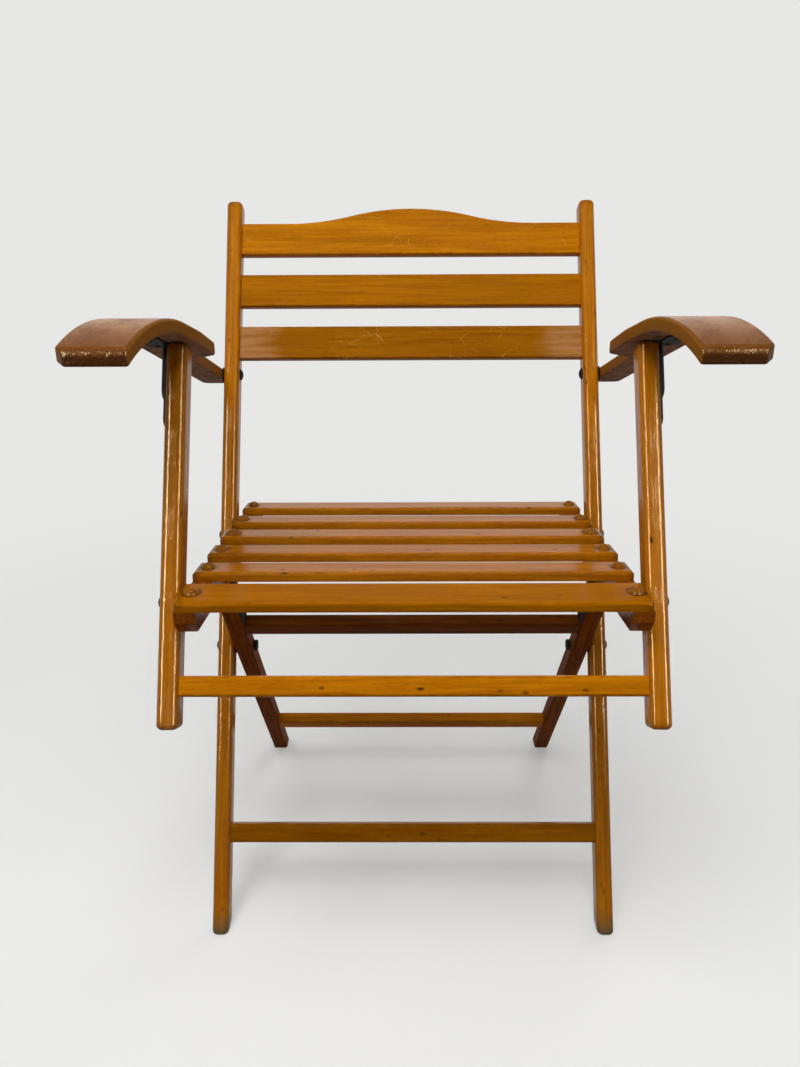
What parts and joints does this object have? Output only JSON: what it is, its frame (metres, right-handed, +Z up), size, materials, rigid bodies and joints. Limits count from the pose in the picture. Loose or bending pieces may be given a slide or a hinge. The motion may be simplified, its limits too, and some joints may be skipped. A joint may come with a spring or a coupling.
{
  "type": "folding armchair",
  "caption": "Folding slatted armchair of varnished wood: leaning back posts cross the rear legs, and the slatted seat and bent arm rests fold up against the back.",
  "frame": {"origin": "on the floor, under the middle of the whole open chair", "axes": "+X across the chair, to the right as seen from the front; +Y from the front edge to the back; +Z up"},
  "size_m": [0.5534, 0.5212, 0.7717],
  "materials": {
    "varnished_wood": "gloss varnish over amber wood, worn at the edges",
    "arm_wood": "redder wood, varnish rubbed to a dull sheen on top",
    "dark_steel": "blackened by age",
    "stud_metal": "dull copper-brown under old varnish"
  },
  "bodies": {
    "left_arm_rest": {"arm_bracket_left": "dark_steel", "arm_bracket_screws_left": "dark_steel", "arm_rear_bolt_left": "dark_steel", "arm_rear_washer_left": "dark_steel", "arm_rest_left": "arm_wood"},
    "right_arm_rest": {"arm_bracket_right": "dark_steel", "arm_bracket_screws_right": "dark_steel", "arm_rear_bolt_right": "dark_steel", "arm_rear_washer_right": "dark_steel", "arm_rest_right": "arm_wood"},
    "arm_post_frame": {"arm_front_screws": "dark_steel", "arm_post_left": "varnished_wood", "arm_post_pivot_bolts": "dark_steel", "arm_post_pivot_nuts": "dark_steel", "arm_post_pivot_washers": "dark_steel", "arm_post_plate_screws": "dark_steel", "arm_post_plates": "dark_steel", "arm_post_right": "varnished_wood", "arm_post_stretcher": "varnished_wood"},
    "back_frame": {"back_post_left": "varnished_wood", "back_post_right": "varnished_wood", "crest_slat": "varnished_wood", "front_stretcher": "varnished_wood", "leg_pivot_bolts": "dark_steel", "leg_pivot_nuts": "dark_steel", "leg_pivot_washers": "dark_steel", "lower_back_slat": "varnished_wood", "middle_back_slat": "varnished_wood", "seat_pivot_bolts": "dark_steel", "seat_pivot_nuts": "dark_steel", "seat_pivot_washers": "dark_steel"},
    "rear_leg_frame": {"leg_fork_screws": "dark_steel", "leg_forks": "dark_steel", "lower_rear_stretcher": "varnished_wood", "rear_leg_left": "varnished_wood", "rear_leg_right": "varnished_wood", "upper_rear_stretcher": "varnished_wood"},
    "seat": {"seat_rail_left": "varnished_wood", "seat_rail_right": "varnished_wood", "seat_slat_1": "varnished_wood", "seat_slat_2": "varnished_wood", "seat_slat_3": "varnished_wood", "seat_slat_4": "varnished_wood", "seat_slat_5": "varnished_wood", "seat_slat_6": "varnished_wood", "seat_slat_studs": "stud_metal", "seat_support_bolts": "dark_steel", "seat_support_nuts": "dark_steel"}
  },
  "joints": [
    {"name": "seat_fold", "type": "hinge", "parent": "back_frame", "child": "seat", "pos_m": [0, 0.05859, 0.39968], "axis": [-1, 0, 0], "range_deg": [0, 88]},
    {"name": "rear_leg_fold", "type": "hinge", "parent": "back_frame", "child": "rear_leg_frame", "pos_m": [0, -0.0021, 0.28358], "axis": [-1, 0, 0], "range_deg": [0, 51.8]},
    {"name": "arm_post_swing", "type": "hinge", "parent": "seat", "child": "arm_post_frame", "pos_m": [0, -0.19806, 0.43516], "axis": [-1, 0, 0], "range_deg": [-88, 0]},
    {"name": "right_arm_fold", "type": "hinge", "parent": "back_frame", "child": "right_arm_rest", "pos_m": [0, 0.14986, 0.57426], "axis": [-1, 0, 0], "range_deg": [0, 88]},
    {"name": "left_arm_fold", "type": "hinge", "parent": "back_frame", "child": "left_arm_rest", "pos_m": [0, 0.14986, 0.57426], "axis": [-1, 0, 0], "range_deg": [0, 88]}
  ],
  "couplings": [
    {"joint": "rear_leg_fold", "follows": "seat_fold", "ratio": 0.58864},
    {"joint": "arm_post_swing", "follows": "seat_fold", "ratio": -1},
    {"joint": "right_arm_fold", "follows": "seat_fold", "ratio": 1},
    {"joint": "left_arm_fold", "follows": "seat_fold", "ratio": 1}
  ]
}
